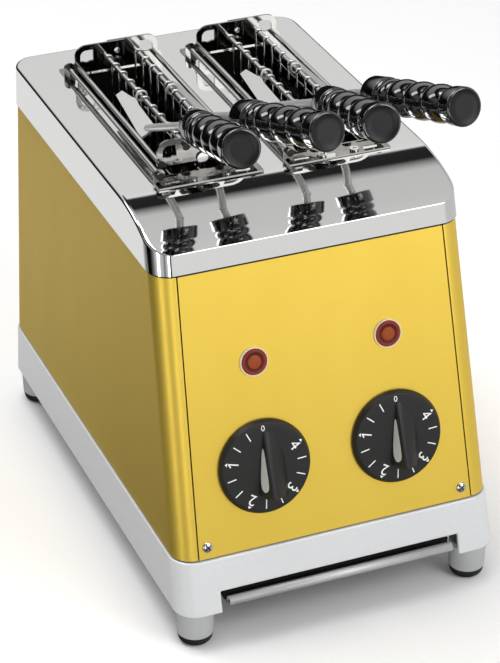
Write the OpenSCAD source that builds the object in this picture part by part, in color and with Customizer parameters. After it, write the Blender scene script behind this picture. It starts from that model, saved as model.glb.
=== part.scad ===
// Two-slot countertop toaster with lift-out bread tongs, a timer for each slot and a crumb tray.
// Millimetres. X runs across the width, +Y to the back, +Z up, with the table at Z = 0.

/* [Housing] */
// Width of the cover along its lower edge
lip_w = 210; // [206:1:240]
// Depth of the cover along its lower edge
lip_d = 284; // [280:1:310]
// Height of the cover's side lip
lip_h = 29; // [26:0.5:34]
// Height of the wall between base and cover
wall_h = 181; // [176:1:210]
// Height of the base frame
base_h = 35.5; // [33:0.5:45]
// Outward lean of each side in degrees
side_tilt = 1.8; // [0.5:0.1:3]
// Lean of the control panel in degrees
front_tilt = 14.5; // [12:0.5:17]
// Lean of the back in degrees
back_tilt = 1.9; // [0.5:0.1:3]
// Radius of the upright corners
corner_r = 15; // [13:0.5:18]
// Thickness of the base casting
base_wall = 3; // [2.5:0.5:4]
// Thickness of the wrap and panel sheet
sheet_t = 1; // [0.8:0.1:1.4]
// Width of the wrap's flange on each side of the panel
flange_w = 14; // [12:0.5:16]

/* [Cover] */
// Thickness of the polished cover
cover_t = 1; // [0.8:0.1:1.2]
// Radius of the rolled nose
nose_r = 125; // [110:1:140]
// Where the nose starts, back from the front edge
nose_y = 65; // [60:1:68]
// Distance between the two slot centres
slot_pitch = 88; // [86:1:96]
// Width of each bread slot
slot_w = 52; // [48:1:54]
// Front end of the slots
slot_front = 70; // [68:1:72]
// Length of the slots
slot_len = 168; // [160:1:176]

/* [Feet] */
// Height of the grey foot posts below the base
post_h = 19.5; // [12:0.5:26]
// Radius of the foot posts
post_r = 12.5; // [9:0.5:14]
// Height of the rubber pads
pad_h = 6.5; // [4:0.5:14]

/* [Controls] */
// Distance of the knobs and lamps from the middle
control_x = 45.7; // [42:0.1:50]
// Distance of the knobs below the panel's top edge
knob_drop = 132.6; // [125:0.2:138]
// Radius of the knob skirt at the panel
knob_r = 31; // [28:0.5:34]
// Thickness of the knob skirt
knob_t = 4; // [3:0.5:6]
// Height of the knob grip above the skirt
grip_h = 15; // [12:0.5:18]
// Distance of the grip's tip above the knob's middle
grip_up = 25; // [22:0.5:26]
// Distance of the grip's tail below the knob's middle
grip_down = 17.4; // [15:0.2:19]
// Distance of the lamps below the panel's top edge
lamp_drop = 63.8; // [55:0.2:75]
// Radius of the lamps
lamp_r = 9.75; // [8:0.25:12]

/* [Tongs] */
// Distance between the front and rear plates of a tong
tong_len = 157; // [151:1:160]
// Gap from the slot's front end to the front plate
tong_in = 5; // [4:0.5:6]
// Thickness of the plates
plate_t = 1.5; // [1:0.1:2]
// Radius of the tong rods
rod_r = 1.6; // [1.4:0.1:2]
// Sideways place of the inner rod
inner_x = 11; // [10:0.5:12]
// Height of the inner rod above the cover
inner_h = 19; // [18:0.5:20]
// Sideways place of the outer rod
outer_x = 28; // [27.5:0.5:29]
// Height of the outer rod above the cover
outer_h = 9.5; // [9:0.5:11]
// Height of the pivot above the cover
pivot_h = 9; // [8.5:0.5:10]
// Radius of the pivot pins
pivot_r = 2; // [1.8:0.1:2.4]
// Number of wires on each jaw
wire_count = 10; // [8:1:11]
// Radius of the cage wire
wire_r = 0.7; // [0.6:0.05:0.9]
// Depth of the cage below the cover
cage_depth = 88; // [70:1:96]
// Sideways place of the handle collar
handle_x = 16.8; // [16.5:0.1:18]
// Distance of the handle collar from the cover's front edge
handle_y = 36; // [34:1:44]
// Height of the handle collar above the cover
handle_h = 49; // [46:1:54]
// Rise of the handles in degrees
handle_rise = 18; // [14:1:24]
// Outward turn of the handles in degrees
handle_turn = 6.3; // [4:0.1:8]
// Length of the handles
handle_len = 105; // [95:1:115]
// Radius of the handles
handle_r = 12; // [10.5:0.25:12.5]

/* [Chambers] */
// Half of a chamber's inside width
chamber_hw = 37; // [36:0.5:38]
// Radius of the heating rods
element_r = 3.25; // [2.5:0.25:3.5]
// Sideways place of the heating rods from the slot centre
element_x = 32.5; // [32:0.5:33]
// Height between two passes of a heating rod
element_pitch = 18; // [15:1:20]

/* [Crumb tray] */
// Width of the tray
tray_w = 158; // [156:1:160]
// Height of the tray's side walls
tray_h = 6; // [4:0.5:7]
// Radius of the rolled front edge
tray_roll_r = 3.2; // [2.5:0.1:3.6]

/* [Hidden] */
$fn = 48;
skin = 0.02;
over = 1;
run_gap = 0.06;
slide_gap = 0.3;
fit_gap = 0.05;
foot_h = post_h + pad_h;
deck_z = foot_h + base_h;
lip_z = deck_z + wall_h;
top_z = lip_z + lip_h;
slot_x = slot_pitch / 2;
slot_back = slot_front + slot_len;
side_draft = tan(side_tilt);
front_draft = tan(front_tilt);
back_draft = tan(back_tilt);
wrap_in = cover_t + 0.1;
tuck = 12;
panel_out = -wrap_in * cos(front_tilt);
panel_back = panel_out - sheet_t;
back_out = -wrap_in * cos(back_tilt);
panel_end = (lip_z - deck_z) / cos(front_tilt);
foot_x = half_w(foot_h) - corner_r;
foot_front = front_y(foot_h) + corner_r;
foot_back = back_y(foot_h) - corner_r;
cut_h = 14;
cut_w = tray_w + 8.6;
screw_x = half_w(deck_z) - 22;
screw_v = panel_end - 9;
rear_screw_x = half_w(deck_z) - 26;
rear_screw_v = wall_h / cos(back_tilt) - 12;
gland_x = 60;
gland_v = wall_h / cos(back_tilt) - 28;
gland_bore_r = 4.2;
gland_out = 8;
neck_r = 5;
shaft_r = 3;
timer_w = 50;
timer_d = 30;
knob_gap = 0.8;
knob_back = panel_out + knob_gap;
grip_left = 6.9;
grip_right = 13;
grip_crest = 4.3;
shaft_in = 5.5;
wall_turn = atan2(grip_left, grip_up + grip_down);
wall_lean = atan2(grip_crest * cos(wall_turn), grip_h);
inlay_s = (grip_up + grip_down) / 42.4;
inlay_h = grip_h / 15;
chamber_t = 0.8;
chamber_front = slot_front - 4;
chamber_back = slot_back + 4;
chamber_top = top_z - cover_t - 1.5;
element_low = chamber_top - 22 - 3 * element_pitch;
element_front = chamber_front + 20;
element_back = chamber_back - 18;
bush_r = 5.5;
guard_wire_x = element_x - element_r - 1.6;
plate_front = slot_front + tong_in;
plate_rear = plate_front + tong_len;
plate_step = plate_t + 0.4;
plate_top = inner_h + 5.5;
plate_lap = 6;
lug_low = 0.3;
ear_r = 8;
ear_x = outer_x + 2 - ear_r;
ear_h = plate_top - ear_r;
window_r = 4.3;
bar_h = 4;
hook_r = rod_r + wire_r + fit_gap;
wire_first = plate_front + 15;
wire_pitch = (tong_len - 30) / (wire_count - 1);
toe_bend = 5;
hook_angle = 130;
toe_x = 1.2;
roof_angle = atan2(inner_h - outer_h, outer_x - inner_x);
roof_len = sqrt(pow(outer_x - inner_x, 2) + pow(inner_h - outer_h, 2));
tang_t = 1.5;
tang_out = roof_len - rod_r - 0.3;
tang_front = plate_front + 36;
tang_back = plate_front + 97;
clip_y = wire_first + 4.5 * wire_pitch;
clip_r = 3.4;
tab_in = clip_r + 0.8 + fit_gap;
stem_r = 2.5;
stem_back = 17;
stem_low = [inner_x + 11 * cos(roof_angle), tang_front + 6, inner_h - 11 * sin(roof_angle)];
stem_top = [handle_x - stem_back * sin(handle_turn) * cos(handle_rise),
  handle_y + stem_back * cos(handle_turn) * cos(handle_rise), handle_h - stem_back * sin(handle_rise)];
bracket_front = slot_front - 3;
bracket_rear = slot_back + 3;
bracket_t = 1.2;
flange_d = 10;
guard_x = outer_x + 3.4;
guard_h = 5.5;
bracket_hw = guard_x + 3.8;
spring_wire_r = 0.45;
spring_r = pivot_r + 0.95;
spring_pitch = 1.5;
spring_turns = 4;
spring_y = plate_front + plate_step + plate_t / 2 + 0.8;
pin_head_t = 1.2;
pin_long = plate_step + plate_t + 8.6;
pin_short = plate_step + plate_t + 0.6;
tray_z = foot_h + 3;
tray_t = 1;
rail_gap = 1;
rail_t = 1.2;
channel_w = tray_w + 2 * (rail_gap + rail_t + 0.5);
boss_r = 8;
tray_back = foot_back - 8;
tray_front = front_y(tray_z + tray_roll_r) + 1.2;
handle_end = handle_len - 5;
far_front = handle_y - cos(handle_turn) * cos(handle_rise) * handle_end
  - handle_r * sqrt(1 - pow(cos(handle_turn) * cos(handle_rise), 2));
far_back = lip_d + sin(back_tilt) * gland_v + cos(back_tilt) * (back_out + gland_out)
  + sin(back_tilt) * 13;
mid_y = (far_front + far_back) / 2;

// Half width, front and back of the housing at a height
function half_w(z) = lip_w / 2 + side_draft * (lip_z - z);
function front_y(z) = -front_draft * (lip_z - z);
function back_y(z) = lip_d + back_draft * (lip_z - z);

// Moves the middle of the depth to the origin
module placed() translate([0, -mid_y, 0]) children();

// Block that follows the leaning sides, set in from the outside
module drafted(z0, z1, inset) {
  hull()
    for (z = [z0, z1 - skin], s = [-1, 1]) {
      translate([s * (half_w(z) - corner_r), front_y(z) + corner_r, z])
        cylinder(r = corner_r - inset, h = skin, $fn = 32);
      translate([s * (half_w(z) - corner_r), back_y(z) - corner_r, z])
        cylinder(r = corner_r - inset, h = skin, $fn = 32);
    }
}

// Panel frame: z out of the panel, y up its slope, origin on the cover's lower edge
module on_panel(x, drop) translate([0, 0, lip_z]) rotate([90 - front_tilt, 0, 0]) translate([x, -drop, 0]) children();

// Back frame: z out of the back, y down its slope
module on_back(x, drop) translate([0, lip_d, lip_z]) rotate([back_tilt - 90, 0, 0]) translate([x, drop, 0]) children();

// Opening of the front panel between the wrap's flanges
module panel_shape(gap) {
  top_x = half_w(lip_z) - flange_w - gap;
  low_x = half_w(deck_z) - flange_w - gap;
  polygon([[-low_x, -panel_end], [low_x, -panel_end], [top_x, 0], [top_x, tuck], [-top_x, tuck], [-top_x, 0]]);
}

// Bar along Y with its middle line at x and z
module bar_y(x, z, r, y0, y1) translate([x, y0, z]) rotate([-90, 0, 0]) cylinder(r = r, h = y1 - y0);

// Cross-head screw, head on the z = 0 face, shank below
module screw(head_r, head_h, shank_r, shank_len) {
  difference() {
    cylinder(r = head_r, h = head_h);
    for (a = [0, 90])
      rotate(a)
        translate([-head_r * 0.6, -0.4, head_h * 0.4])
          cube([head_r * 1.2, 0.8, head_h]);
  }
  translate([0, 0, -shank_len])
    cylinder(r = shank_r, h = shank_len + skin);
}

// Cast base with deck, foot bosses and screw lugs
module base_frame() color("#CFCFD0") placed() {
  difference() {
    union() {
      difference() {
        drafted(foot_h, deck_z, 0);
        difference() {
          drafted(foot_h - over, deck_z - base_wall, base_wall);
          difference() {
            for (s = [-1, 1], y = [foot_front, foot_back])
              translate([s * foot_x, y, foot_h])
                cylinder(r = boss_r, h = base_h);
            translate([-channel_w / 2, front_y(foot_h), foot_h - over])
              cube([channel_w, back_y(foot_h) - front_y(foot_h), base_h + 2 * over]);
          }
        }
      }
      for (s = [-1, 1]) {
        on_panel(s * screw_x, screw_v)
          translate([-6, -12, panel_back - 4])
            cube([12, 20, 4]);
        on_back(s * rear_screw_x, rear_screw_v)
          translate([-6, -8, back_out - sheet_t - 4])
            cube([12, 23, 4]);
      }
    }
    for (s = [-1, 1], y = [foot_front, foot_back])
      translate([s * foot_x, y, foot_h - over])
        cylinder(r = 2.5 + fit_gap, h = 14 + over);
    for (s = [-1, 1]) {
      translate([s * slot_x - chamber_hw + 3, chamber_front + 4, deck_z - base_wall - over])
        cube([2 * chamber_hw - 6, chamber_back - chamber_front - 8, base_wall + 2 * over]);
      on_panel(s * screw_x, screw_v)
        translate([0, 0, panel_back - 6])
          cylinder(r = 1.5 + fit_gap, h = 8);
      on_back(s * rear_screw_x, rear_screw_v)
        translate([0, 0, back_out - sheet_t - 6])
          cylinder(r = 1.5 + fit_gap, h = 8);
    }
    translate([-cut_w / 2, front_y(foot_h) - 5, foot_h - over])
      cube([cut_w, base_wall + 14, cut_h + over]);
  }
}

// Grey posts that screw into the base
module foot_posts() color("#A9ABAD") placed()
  for (s = [-1, 1], y = [foot_front, foot_back])
    translate([s * foot_x, y, pad_h]) {
      cylinder(r1 = post_r - 0.6, r2 = post_r, h = post_h - 1.5);
      translate([0, 0, post_h - 1.5 - skin])
        cylinder(r = post_r - 0.6, h = 1.5 + skin);
      translate([0, 0, post_h - skin])
        cylinder(r = 2.5, h = 12);
    }

// Rubber pads under the posts
module foot_pads() color("#1E1E1F") placed()
  for (s = [-1, 1], y = [foot_front, foot_back])
    translate([s * foot_x, y, 0])
      cylinder(r1 = post_r - 2.6, r2 = post_r - 0.9, h = pad_h);

// Rails under the deck that carry the tray
module tray_rails() color("#9FA1A3") placed()
  for (s = [0, 1])
    mirror([s, 0, 0]) {
      translate([tray_w / 2 + rail_gap, tray_front + 14, tray_z - slide_gap - rail_t])
        cube([rail_t, tray_back - tray_front - 14, deck_z - base_wall - tray_z + slide_gap + rail_t]);
      translate([tray_w / 2 - 4, tray_front + 14, tray_z - slide_gap - rail_t])
        cube([4 + rail_gap + skin, tray_back - tray_front - 14, rail_t]);
    }

// Gold sheet round both sides and the back, with a flange on each side of the panel
module side_wrap() color("#D8B44C") placed()
  difference() {
    drafted(deck_z, lip_z + tuck, wrap_in);
    drafted(deck_z - over, lip_z + tuck + over, wrap_in + sheet_t);
    on_panel(0, 0)
      translate([0, 0, panel_out - 10])
        linear_extrude(14)
          offset(delta = 0.01)
            panel_shape(0);
    translate([-half_w(lip_z) + corner_r + 2, -20, lip_z])
      cube([2 * half_w(lip_z) - 2 * corner_r - 4, 40, tuck + 2 * over]);
    for (s = [-1, 1]) {
      on_back(s * rear_screw_x, rear_screw_v)
        translate([0, 0, back_out - 5])
          cylinder(r = 1.5 + 0.2, h = 10);
      on_back(s * rear_screw_x, -6)
        translate([0, 0, back_out - 5])
          cylinder(r = 1.5 + 0.2, h = 10);
    }
    on_back(gland_x, gland_v)
      translate([0, 0, back_out - 5])
        cylinder(r = 9 + 0.1, h = 10);
  }

// Gold control panel, its upper part left bare
module front_panel() color("#E6C65A") placed()
  difference() {
    on_panel(0, 0)
      difference() {
        translate([0, 0, panel_back])
          linear_extrude(sheet_t)
            panel_shape(0.4);
        for (s = [-1, 1]) {
          translate([s * control_x, -knob_drop, panel_back - over])
            cylinder(r = neck_r + 0.1, h = sheet_t + 2 * over);
          translate([s * control_x, -lamp_drop, panel_back - over])
            cylinder(r = lamp_r - 2.5, h = sheet_t + 2 * over);
          translate([s * screw_x, -screw_v, panel_back - over])
            cylinder(r = 1.5 + 0.2, h = sheet_t + 2 * over);
        }
      }
    translate([-half_w(deck_z), front_y(deck_z) - 5, deck_z - 5])
      cube([2 * half_w(deck_z), 20, 5 + fit_gap]);
  }

// Screws at the foot of the panel
module panel_screws() color("#C9C9C9") placed()
  for (s = [-1, 1])
    on_panel(s * screw_x, screw_v)
      translate([0, 0, panel_out])
        screw(3.5, 1.6, 1.5, sheet_t + 3.6);

// Screws at the back, two into the base and two through the cover's lip
module case_screws() color("#B4B4B4") placed()
  for (s = [-1, 1]) {
    on_back(s * rear_screw_x, rear_screw_v)
      translate([0, 0, back_out])
        screw(3.5, 1.6, 1.5, sheet_t + 3.6);
    on_back(s * rear_screw_x, -6)
      translate([0, 0, 0])
        screw(3.5, 1.6, 1.5, cover_t + sheet_t + 3);
  }

// Solid under the flat top and its rolled nose
module nose_shape(down) {
  translate([-lip_w, nose_y, lip_z - 2 * over])
    cube([2 * lip_w, lip_d, lip_h + 2 * over - down]);
  translate([-lip_w, nose_y, top_z - nose_r])
    rotate([0, 90, 0])
      cylinder(r = nose_r - down, h = 2 * lip_w, $fn = 96);
}

// Polished cover with the two bread slots
module top_cover() color("#DADADA") placed()
  difference() {
    intersection() {
      drafted(lip_z, top_z, 0);
      nose_shape(0);
    }
    intersection() {
      drafted(lip_z - over, top_z, cover_t);
      nose_shape(cover_t);
    }
    for (s = [-1, 1]) {
      translate([s * slot_x - slot_w / 2, slot_front, top_z - 3])
        cube([slot_w, slot_len, 6]);
      on_back(s * rear_screw_x, -6)
        translate([0, 0, -5])
          cylinder(r = 1.5 + 0.2, h = 10);
      for (t = [-1, 1], y = [bracket_front - 6, bracket_rear + 6])
        translate([s * slot_x + t * 11.3, y, top_z - 4])
          cylinder(r = 1.5 + 0.1, h = 8);
    }
  }

// One bracket in its own plane: low rim, raised ends for the rods and a screw flange with two slots
module bracket() {
  difference() {
    union() {
      translate([-bracket_hw, 0, 0])
        cube([2 * bracket_hw, bracket_t, 3.9]);
      for (s = [-1, 1]) {
        bar_y(s * guard_x, guard_h, 3.8, 0, bracket_t);
        translate([s * guard_x - 3.8, 0, 0])
          cube([7.6, bracket_t, guard_h]);
      }
      translate([-bracket_hw, -flange_d, 0])
        cube([2 * bracket_hw, flange_d + skin, bracket_t]);
    }
    for (s = [-1, 1]) {
      bar_y(s * guard_x, guard_h, rod_r + fit_gap, -over, bracket_t + over);
      translate([s * 11.3, -6, -over])
        cylinder(r = 1.5 + 0.1, h = bracket_t + 2 * over);
      for (x = [19, 28.5])
        translate([s * x, -5, -over])
          cylinder(r = 2, h = bracket_t + 2 * over);
      translate([s * 23.75 - 4.75, -7, -over])
        cube([9.5, 4, bracket_t + 2 * over]);
    }
  }
}

// Brackets at both ends of each slot
module slot_brackets() color("#C8C8C8") placed()
  for (s = [-1, 1])
    translate([s * slot_x, 0, top_z]) {
      translate([0, bracket_front, 0])
        bracket();
      translate([0, bracket_rear, 0])
        mirror([0, 1, 0])
          bracket();
    }

// Screws of the brackets
module bracket_screws() color("#BDBDBD") placed()
  for (s = [-1, 1], t = [-1, 1], y = [bracket_front - 6, bracket_rear + 6])
    translate([s * slot_x + t * 11.3, y, top_z + bracket_t])
      screw(3, 1.5, 1.5, cover_t + bracket_t + 3);

// Push-on ring that holds the end of a rod
module cap_ring(x, z, y0, y1)
  difference() {
    bar_y(x, z, rod_r + 1, y0, y1);
    bar_y(x, z, rod_r + fit_gap, y0 - over, y1 + over);
  }

// Rods along both edges of each slot with their push-on rings
module guard_rods() color("#D0D0D0") placed()
  for (s = [-1, 1], t = [-1, 1])
    translate([s * slot_x, 0, top_z]) {
      bar_y(t * guard_x, guard_h, rod_r, bracket_front - 2.5, bracket_rear + 2.5);
      cap_ring(t * guard_x, guard_h, bracket_front - 2.5, bracket_front - 0.1);
      cap_ring(t * guard_x, guard_h, bracket_rear + 0.1, bracket_rear + 2.5);
    }

// Sheet liner of one toasting chamber
module chamber(side)
  translate([side * slot_x, 0, 0])
    difference() {
      translate([-chamber_hw - chamber_t, chamber_front, deck_z])
        cube([2 * (chamber_hw + chamber_t), chamber_back - chamber_front, chamber_top - deck_z]);
      translate([-chamber_hw, chamber_front + chamber_t, deck_z - over])
        cube([2 * chamber_hw, chamber_back - chamber_front - 2 * chamber_t, chamber_top - deck_z + 2 * over]);
      for (t = [-1, 1], k = [0, 3])
        bar_y(t * element_x, element_low + k * element_pitch, bush_r - 1 + fit_gap,
          chamber_front - over, chamber_front + chamber_t + over);
    }
module left_chamber() color("#B9BBBD") placed() chamber(-1);
module right_chamber() color("#B9BBBD") placed() chamber(1);

// One heating rod folded into four passes
module element() {
  for (k = [0, 3])
    bar_y(0, element_low + k * element_pitch, element_r, chamber_front - 14, element_back);
  for (k = [1, 2])
    bar_y(0, element_low + k * element_pitch, element_r, element_front, element_back);
  for (k = [0, 2])
    translate([0, element_back, element_low + (k + 0.5) * element_pitch])
      rotate([90, 0, 90])
        rotate(-90)
          rotate_extrude(angle = 180)
            translate([element_pitch / 2, 0])
              circle(r = element_r);
  translate([0, element_front, element_low + 1.5 * element_pitch])
    rotate([90, 0, 90])
      rotate(90)
        rotate_extrude(angle = 180)
          translate([element_pitch / 2, 0])
            circle(r = element_r);
}
module elements(side)
  for (t = [-1, 1])
    translate([side * slot_x + t * element_x, 0, 0])
      element();
module left_elements() color("#8A5A48") placed() elements(-1);
module right_elements() color("#8A5A48") placed() elements(1);

// Ceramic bushings where the heating rods leave the chambers
module element_bushings() color("#EDEAE0") placed()
  for (s = [-1, 1], t = [-1, 1], k = [0, 3])
    translate([s * slot_x + t * element_x, chamber_front, element_low + k * element_pitch])
      rotate([-90, 0, 0])
        difference() {
          union() {
            translate([0, 0, -8])
              cylinder(r = bush_r - 1, h = 8 + chamber_t + 3);
            translate([0, 0, -8])
              cylinder(r = bush_r, h = 8 - fit_gap);
          }
          translate([0, 0, -9])
            cylinder(r = element_r + fit_gap, h = 16);
        }

// Wire fences between the heating rods and the bread
module element_guards(side)
  for (t = [-1, 1])
    translate([side * slot_x + t * guard_wire_x, 0, 0]) {
      for (z = [element_low - 14, chamber_top - 5])
        bar_y(0, z, 1.2, chamber_front + chamber_t + fit_gap, chamber_back - chamber_t - fit_gap);
      for (i = [0 : 7])
        translate([0, chamber_front + 18 + i * (chamber_back - chamber_front - 36) / 7, element_low - 14])
          cylinder(r = 0.9, h = chamber_top - 5 - element_low + 14);
    }
module left_element_guards() color("#C4C4C4") placed() element_guards(-1);
module right_element_guards() color("#C4C4C4") placed() element_guards(1);

// Clockwork timer behind the panel, with a neck through it
module timer(side)
  on_panel(side * control_x, knob_drop)
    difference() {
      union() {
        translate([-timer_w / 2, -timer_w / 2, panel_back - timer_d])
          cube([timer_w, timer_w, timer_d]);
        translate([0, 0, panel_back - over])
          cylinder(r = neck_r, h = sheet_t + over + 0.6);
      }
      translate([0, 0, panel_back - timer_d + 4])
        cylinder(r = shaft_r + run_gap, h = timer_d + 6);
    }
module left_timer() color("#77787A") placed() timer(-1);
module right_timer() color("#77787A") placed() timer(1);

// Sockets behind the lamps
module lamp_holders() color("#E8E6E0") placed()
  for (s = [-1, 1])
    on_panel(s * control_x, lamp_drop)
      translate([0, 0, panel_back - 24])
        difference() {
          cylinder(r = lamp_r, h = 24);
          translate([0, 0, 3])
            cylinder(r = lamp_r - 2.5, h = 24);
        }

// Rims of the lamps
module lamp_bezels() color("#F2F0EA") placed()
  for (s = [-1, 1])
    on_panel(s * control_x, lamp_drop)
      translate([0, 0, panel_out])
        difference() {
          cylinder(r = lamp_r, h = 2);
          translate([0, 0, -over])
            cylinder(r = lamp_r - 1.2, h = 4);
        }

// Red lenses with a shaft into the sockets
module lamp_lenses() color("#E0401C") placed()
  for (s = [-1, 1])
    on_panel(s * control_x, lamp_drop) {
      translate([0, 0, panel_out + fit_gap])
        cylinder(r = lamp_r - 1.2 - fit_gap, h = 2.6);
      translate([0, 0, panel_back - 6])
        cylinder(r = lamp_r - 2.5 - fit_gap, h = 6 + sheet_t + over);
    }

// Terminal block behind the chambers
module terminal_block() color("#E4DED0") placed()
  translate([gland_x - 58, chamber_back + 6, deck_z])
    difference() {
      cube([44, 16, 20]);
      for (i = [0 : 2])
        translate([9 + i * 13, 8, 6])
          cylinder(r = 3, h = 20);
    }

// Gland in the back for a mains cord
module cord_gland() color("#232323") placed()
  on_back(gland_x, gland_v)
    difference() {
      union() {
        translate([0, 0, back_out + fit_gap])
          cylinder(r = 13, h = 3);
        translate([0, 0, back_out])
          cylinder(r = 8, h = gland_out);
        translate([0, 0, back_out - sheet_t - 5])
          cylinder(r = 9, h = 6 + sheet_t);
        translate([0, 0, back_out - sheet_t - 5])
          cylinder(r = 12, h = 5 - fit_gap);
      }
      translate([0, 0, back_out - 12])
        cylinder(r = gland_bore_r, h = 30);
    }

// Sliding tray with a rolled front edge
module crumb_tray() color("#C2C4C6") placed() {
  difference() {
    translate([-tray_w / 2, tray_front, tray_z])
      cube([tray_w, tray_back - tray_front, tray_h]);
    translate([-tray_w / 2 + tray_t, tray_front + tray_t, tray_z + tray_t])
      cube([tray_w - 2 * tray_t, tray_back - tray_front - 2 * tray_t, tray_h]);
  }
  translate([-tray_w / 2, tray_front, tray_z + tray_roll_r])
    rotate([0, 90, 0])
      cylinder(r = tray_roll_r, h = tray_w);
}

// Wedge-shaped grip: pointed at the top, steep on its left side, sloping on its right
module grip()
  hull() {
    linear_extrude(skin)
      polygon([[0, grip_up], [0.58 * grip_right, 0.74 * grip_up], [0.88 * grip_right, 0.44 * grip_up],
        [grip_right, -0.29 * grip_down], [0.98 * grip_right, -1.25 * grip_down],
        [0.15 * grip_right, -1.12 * grip_down], [-grip_left, -grip_down]]);
    translate([-0.36, grip_up - 6, 1.6])
      cube([0.4, 0.4, 0.4]);
    translate([grip_crest - grip_left, -grip_down, grip_h - 0.5])
      cube([2.6, 0.5, 0.5]);
  }

// Timer knob
module knob(side)
  on_panel(side * control_x, knob_drop)
    translate([0, 0, knob_back])
      difference() {
        union() {
          cylinder(r1 = knob_r, r2 = knob_r - 1.4, h = knob_t);
          translate([0, 0, knob_t - skin])
            grip();
        }
        translate([0, 0, -over])
          cylinder(r = shaft_r + fit_gap, h = shaft_in + 0.5 + over);
      }
module left_knob() color("#3D3D3B") placed() knob(-1);
module right_knob() color("#3D3D3B") placed() knob(1);

// Silver drop on the steep side of the grip
module knob_inlay(side)
  on_panel(side * control_x, knob_drop)
    translate([0, grip_up, knob_back + knob_t])
      rotate([0, 0, 180 - wall_turn])
        rotate([0, -wall_lean, 0])
          translate([fit_gap, 0, 0])
            rotate([90, 0, 90])
              linear_extrude(0.4)
                polygon([[12.5 * inlay_s, 0.9 * inlay_h], [16 * inlay_s, 2.9 * inlay_h], [28 * inlay_s, 7.4 * inlay_h],
                  [35 * inlay_s, 9.4 * inlay_h], [37.8 * inlay_s, 8.8 * inlay_h], [39.2 * inlay_s, 7 * inlay_h],
                  [38.4 * inlay_s, 4 * inlay_h], [36 * inlay_s, 2.2 * inlay_h], [30 * inlay_s, 1.2 * inlay_h]]);
module left_knob_inlay() color("#9C9C9A") placed() knob_inlay(-1);
module right_knob_inlay() color("#9C9C9A") placed() knob_inlay(1);

// Timer shaft that carries the knob
module timer_shaft(side)
  on_panel(side * control_x, knob_drop)
    translate([0, 0, panel_back - timer_d + 4.5])
      cylinder(r = shaft_r, h = timer_d - 4.5 + sheet_t + knob_gap + shaft_in);
module left_timer_shaft() color("#B0B0B0") placed() timer_shaft(-1);
module right_timer_shaft() color("#B0B0B0") placed() timer_shaft(1);

// Pivot pins of one tong, the front one long enough for the spring
module tong_pins(side)
  translate([side * slot_x, 0, top_z + pivot_h])
    for (p = [[plate_front, pin_long], [plate_rear, pin_short]]) {
      bar_y(0, 0, pivot_r, p[0] - plate_t / 2 - 0.3 - skin, p[0] - plate_t / 2 + p[1]);
      bar_y(0, 0, pivot_r + 1.6, p[0] - plate_t / 2 - 0.3 - pin_head_t, p[0] - plate_t / 2 - 0.3);
      bar_y(0, 0, pivot_r + 1.6, p[0] - plate_t / 2 + p[1] - skin, p[0] - plate_t / 2 + p[1] + pin_head_t);
    }
module left_tong_pins() color("#CFCFCF") placed() tong_pins(-1);
module right_tong_pins() color("#CFCFCF") placed() tong_pins(1);

// Wound spring on the front pin
module tong_spring(side) {
  rings = 8 * spring_turns;
  sides = 6;
  slope = atan2(spring_pitch, 2 * PI * spring_r);
  points = [for (i = [0 : rings], j = [0 : sides - 1])
    let (a = 45 * i, b = 60 * j, m = spring_r + spring_wire_r * cos(b))
    [m * cos(a) + spring_wire_r * sin(b) * sin(slope) * sin(a),
     spring_pitch * i / 8 + spring_wire_r * sin(b) * cos(slope),
     m * sin(a) - spring_wire_r * sin(b) * sin(slope) * cos(a)]];
  walls = [for (i = [0 : rings - 1], j = [0 : sides - 1])
    [i * sides + j, i * sides + (j + 1) % sides, (i + 1) * sides + (j + 1) % sides, (i + 1) * sides + j]];
  ends = [[for (j = [sides - 1 : -1 : 0]) j], [for (j = [0 : sides - 1]) rings * sides + j]];
  translate([side * slot_x, spring_y + spring_wire_r, top_z + pivot_h])
    polyhedron(points = points, faces = concat(walls, ends), convexity = 6);
}
module left_tong_spring() color("#A8A8A8") placed() tong_spring(-1);
module right_tong_spring() color("#A8A8A8") placed() tong_spring(1);

// Frame of one jaw: the right jaw as drawn, the left one mirrored
module jaw(side, hand)
  translate([side * slot_x, hand > 0 ? plate_step : 0, top_z])
    mirror([hand > 0 ? 0 : 1, 0, 0])
      children();

// Outline of a jaw plate
module plate_shape()
  difference() {
    union() {
      translate([-plate_lap, pivot_h - bar_h])
        square([plate_lap + outer_x, 2 * bar_h]);
      translate([-plate_lap, pivot_h])
        square([plate_lap + inner_x + 6, plate_top - pivot_h]);
      translate([inner_x, ear_h])
        square([ear_x - inner_x, ear_r]);
      translate([ear_x, ear_h])
        circle(r = ear_r);
      translate([ear_x, outer_h])
        square([ear_r, ear_h - outer_h]);
      translate([outer_x - 2.5, lug_low])
        square([2.9, outer_h - lug_low]);
      translate([outer_x, outer_h])
        circle(r = rod_r + 0.7);
    }
    translate([ear_x, ear_h])
      circle(r = window_r);
    translate([inner_x + 6, pivot_h + bar_h])
      square([ear_x - inner_x - 6, ear_h + window_r - pivot_h - bar_h]);
    translate([ear_x - skin, pivot_h + bar_h])
      square([window_r + skin, ear_h - pivot_h - bar_h]);
    translate([0, pivot_h])
      circle(r = pivot_r + run_gap);
    translate([0, pivot_h + 8.5])
      circle(r = 2);
    translate([inner_x, inner_h])
      circle(r = rod_r + fit_gap);
    translate([outer_x, outer_h])
      circle(r = rod_r + fit_gap);
  }

// Front and rear plates of a jaw
module plates(side, hand)
  jaw(side, hand)
    for (y = [plate_front, plate_rear])
      translate([0, y + plate_t / 2, 0])
        rotate([90, 0, 0])
          linear_extrude(plate_t)
            plate_shape();

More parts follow.
